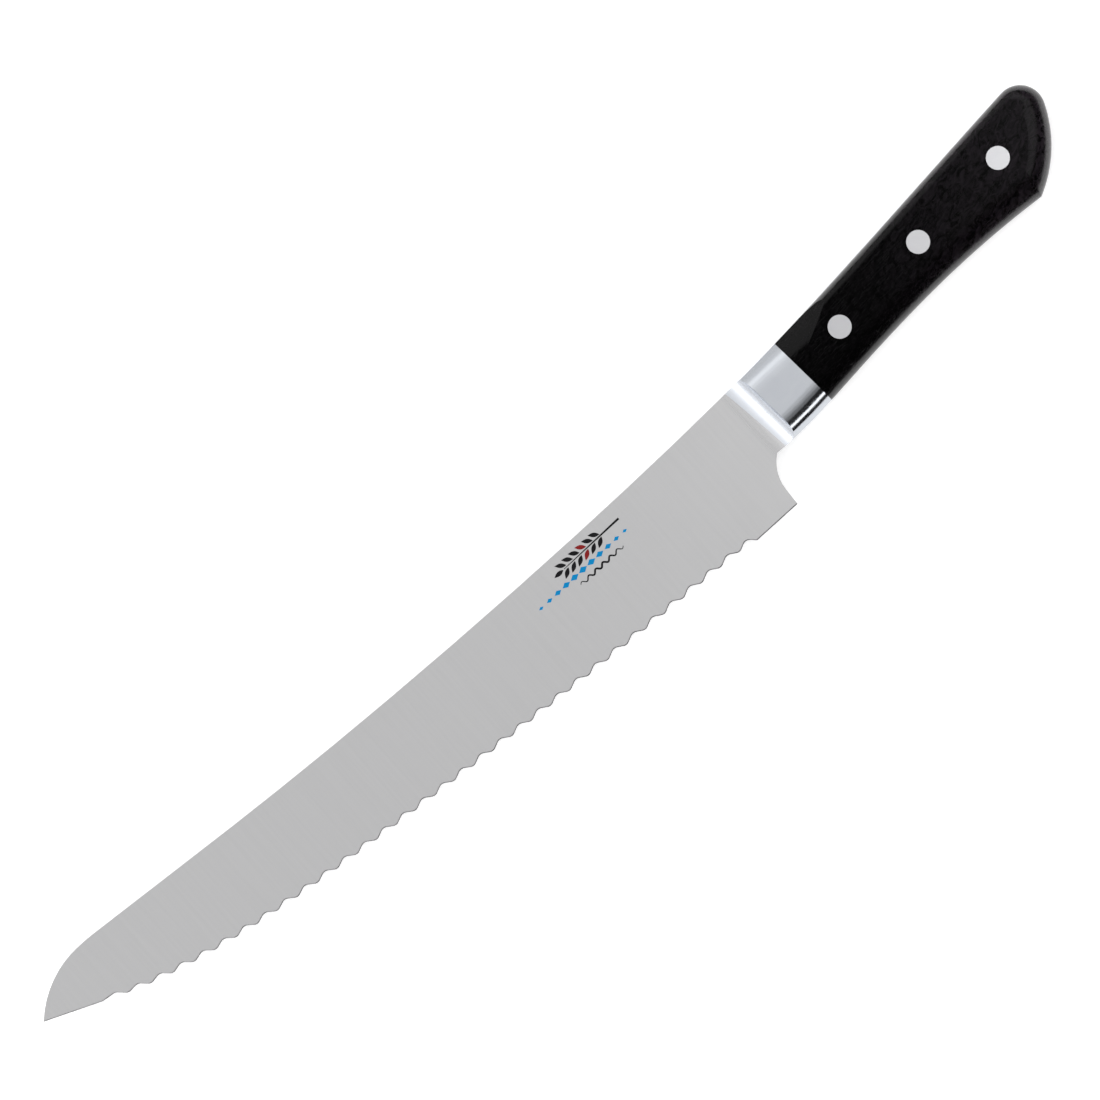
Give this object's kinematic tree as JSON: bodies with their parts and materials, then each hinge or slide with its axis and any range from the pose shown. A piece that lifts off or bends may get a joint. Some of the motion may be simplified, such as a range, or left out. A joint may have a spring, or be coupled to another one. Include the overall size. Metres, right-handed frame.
{
  "type": "bread knife",
  "caption": "Long serrated bread knife with a full tang, a polished bolster, black wooden handle scales and flush rivets.",
  "frame": {"origin": "under the centre of the knife's box, on the surface that its right side lies on", "axes": "+X from the butt towards the blade's tip, +Y from the spine towards the cutting edge, +Z out of the blade's left face"},
  "size_m": [0.402, 0.0492, 0.016],
  "materials": {
    "blade_steel": "fine satin, ground from spine to edge",
    "bolster_steel": "polished, with light buffing marks",
    "handle_wood": "black dyed laminated wood, pressed and buffed to a low sheen",
    "rivet_steel": "sanded flush with the wood",
    "print_black": "thin printed ink",
    "print_blue": "thin printed ink",
    "print_red": "thin printed ink"
  },
  "bodies": {
    "root": {"blade": "blade_steel", "bolster_left": "bolster_steel", "bolster_right": "bolster_steel", "scale_left": "handle_wood", "scale_right": "handle_wood", "rivet_front_male": "rivet_steel", "rivet_front_female": "rivet_steel", "rivet_middle_male": "rivet_steel", "rivet_middle_female": "rivet_steel", "rivet_rear_male": "rivet_steel", "rivet_rear_female": "rivet_steel"}
  },
  "joints": []
}
